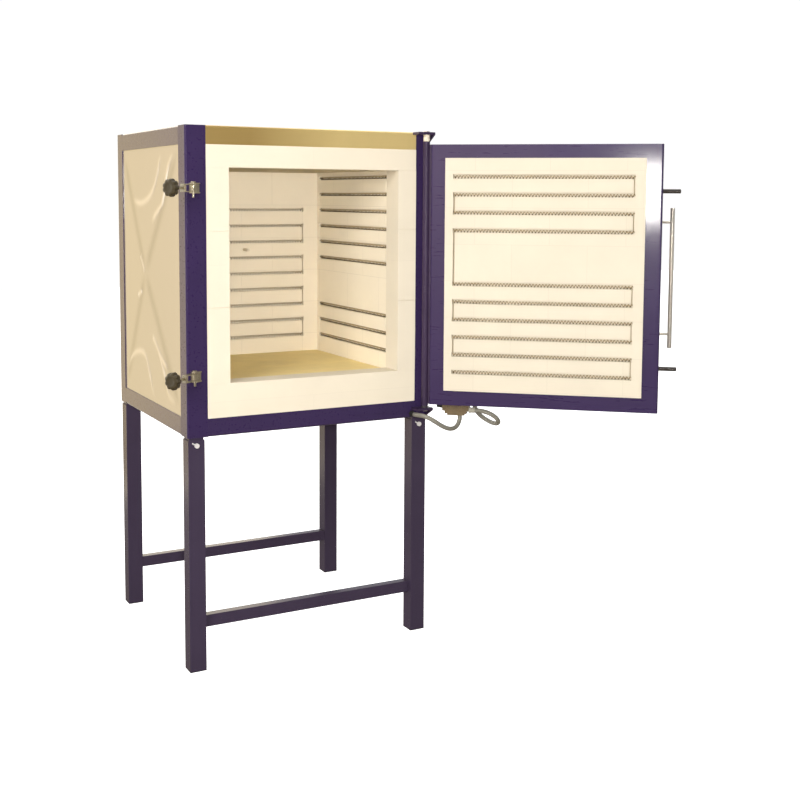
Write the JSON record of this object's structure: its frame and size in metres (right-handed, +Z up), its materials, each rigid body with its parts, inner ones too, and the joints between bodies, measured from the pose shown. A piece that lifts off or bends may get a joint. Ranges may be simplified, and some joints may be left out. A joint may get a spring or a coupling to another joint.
{
  "type": "electric kiln",
  "caption": "Front-loading electric kiln on a square-tube stand, with a hinged brick-lined door, swing clamps, a door cable and grooved walls that hold heating elements.",
  "frame": {"origin": "on the floor, midway between the four feet", "axes": "+X to the right seen from the front, +Y to the back, +Z up; the door opens towards -Y"},
  "size_m": [1.4787, 1.2732, 1.6093],
  "materials": {
    "paint": "satin violet-blue enamel",
    "hinge_paint": "worn satin enamel",
    "stainless": "brushed stainless strip",
    "pearl_sheet": "pale pearly sheet, semi-gloss",
    "firebrick": "chalky insulating firebrick, matt",
    "board": "pale insulating board, matt",
    "element": "oxidised resistance wire, matt",
    "brass": "plain turned brass",
    "shelf": "tan ceramic shelf, matt",
    "ceramic": "fine pale ceramic, matt",
    "steel": "bright zinc-plated steel",
    "zinc": "yellow zinc-plated steel",
    "dark_steel": "blackened steel rod",
    "knob": "black moulded plastic",
    "black_plastic": "black moulded plastic",
    "connector": "brown moulded plastic",
    "cable": "grey heat-proof sleeve"
  },
  "bodies": {
    "casing": {"front_left_post": "paint", "front_right_post": "paint", "rear_posts": "paint", "casing_rails": "paint", "front_fascia": "stainless", "left_panel": "pearl_sheet", "right_panel": "pearl_sheet", "back_panel": "pearl_sheet", "roof_panel": "pearl_sheet", "base_panel": "pearl_sheet", "jambs": "firebrick", "sill": "firebrick", "lintel": "firebrick", "left_wall": "firebrick", "right_wall": "firebrick", "back_wall": "firebrick", "chamber_roof": "firebrick", "chamber_floor": "firebrick", "backing_boards": "board", "side_elements": "element", "back_element": "element", "terminal_blocks": "brass", "floor_plate": "shelf", "thermocouple": "ceramic", "terminal_cover": "paint", "supply_gland": "black_plastic", "upper_hinge_bracket": "hinge_paint", "lower_hinge_bracket": "hinge_paint", "hinge_pins": "steel", "hinge_bushes": "ceramic", "leg_spigots": "paint", "legs": "paint", "stand_rails": "paint", "leg_bolts": "steel", "foot_caps": "black_plastic", "clamp_brackets": "zinc", "clamp_pins": "steel", "cable_gland": "black_plastic", "door_cable": "cable"},
    "door": {"door_frame": "paint", "door_skin": "pearl_sheet", "door_backing": "board", "door_lining": "firebrick", "door_element": "element", "hinge_tube": "hinge_paint", "handle_bar": "zinc", "handle_posts": "zinc", "locking_rods": "dark_steel", "cable_connector": "connector", "connector_boot": "black_plastic", "return_cable": "cable"},
    "bung": {"vent_bung": "firebrick"},
    "upper_clamp": {"upper_yoke": "zinc"},
    "upper_pad": {"upper_pad": "steel"},
    "upper_screw": {"upper_screw": "steel", "upper_knob": "knob"},
    "lower_clamp": {"lower_yoke": "zinc"},
    "lower_pad": {"lower_pad": "steel"},
    "lower_screw": {"lower_screw": "steel", "lower_knob": "knob"}
  },
  "joints": [
    {"name": "door_hinge", "type": "hinge", "parent": "casing", "child": "door", "pos_m": [0.376, -0.381, 1.15], "axis": [0, 0, 1], "range_deg": [-140, 30], "deforming": ["door_cable"]},
    {"name": "bung_lift", "type": "slide", "parent": "casing", "child": "bung", "axis": [0, 0, 1], "range_m": [0, 0.14]},
    {"name": "upper_swing", "type": "hinge", "parent": "casing", "child": "upper_clamp", "pos_m": [-0.3775, -0.373, 1.421], "axis": [0, 0, -1], "range_deg": [-60, 30]},
    {"name": "upper_pad_slide", "type": "slide", "parent": "upper_clamp", "child": "upper_pad", "axis": [-0.866, -0.5, 0], "range_m": [-0.0072, 0]},
    {"name": "upper_knob_turn", "type": "hinge", "parent": "upper_pad", "child": "upper_screw", "pos_m": [-0.3775, -0.373, 1.421], "axis": [-0.866, -0.5, 0], "range_deg": [-1080, 0]},
    {"name": "lower_swing", "type": "hinge", "parent": "casing", "child": "lower_clamp", "pos_m": [-0.3775, -0.373, 0.881], "axis": [0, 0, -1], "range_deg": [-60, 30]},
    {"name": "lower_pad_slide", "type": "slide", "parent": "lower_clamp", "child": "lower_pad", "axis": [-0.866, -0.5, 0], "range_m": [-0.0072, 0]},
    {"name": "lower_knob_turn", "type": "hinge", "parent": "lower_pad", "child": "lower_screw", "pos_m": [-0.3775, -0.373, 0.881], "axis": [-0.866, -0.5, 0], "range_deg": [-1080, 0]}
  ],
  "couplings": [
    {"joint": "upper_knob_turn", "follows": "upper_pad_slide", "rad_per_m": 2618},
    {"joint": "lower_knob_turn", "follows": "lower_pad_slide", "rad_per_m": 2618}
  ]
}
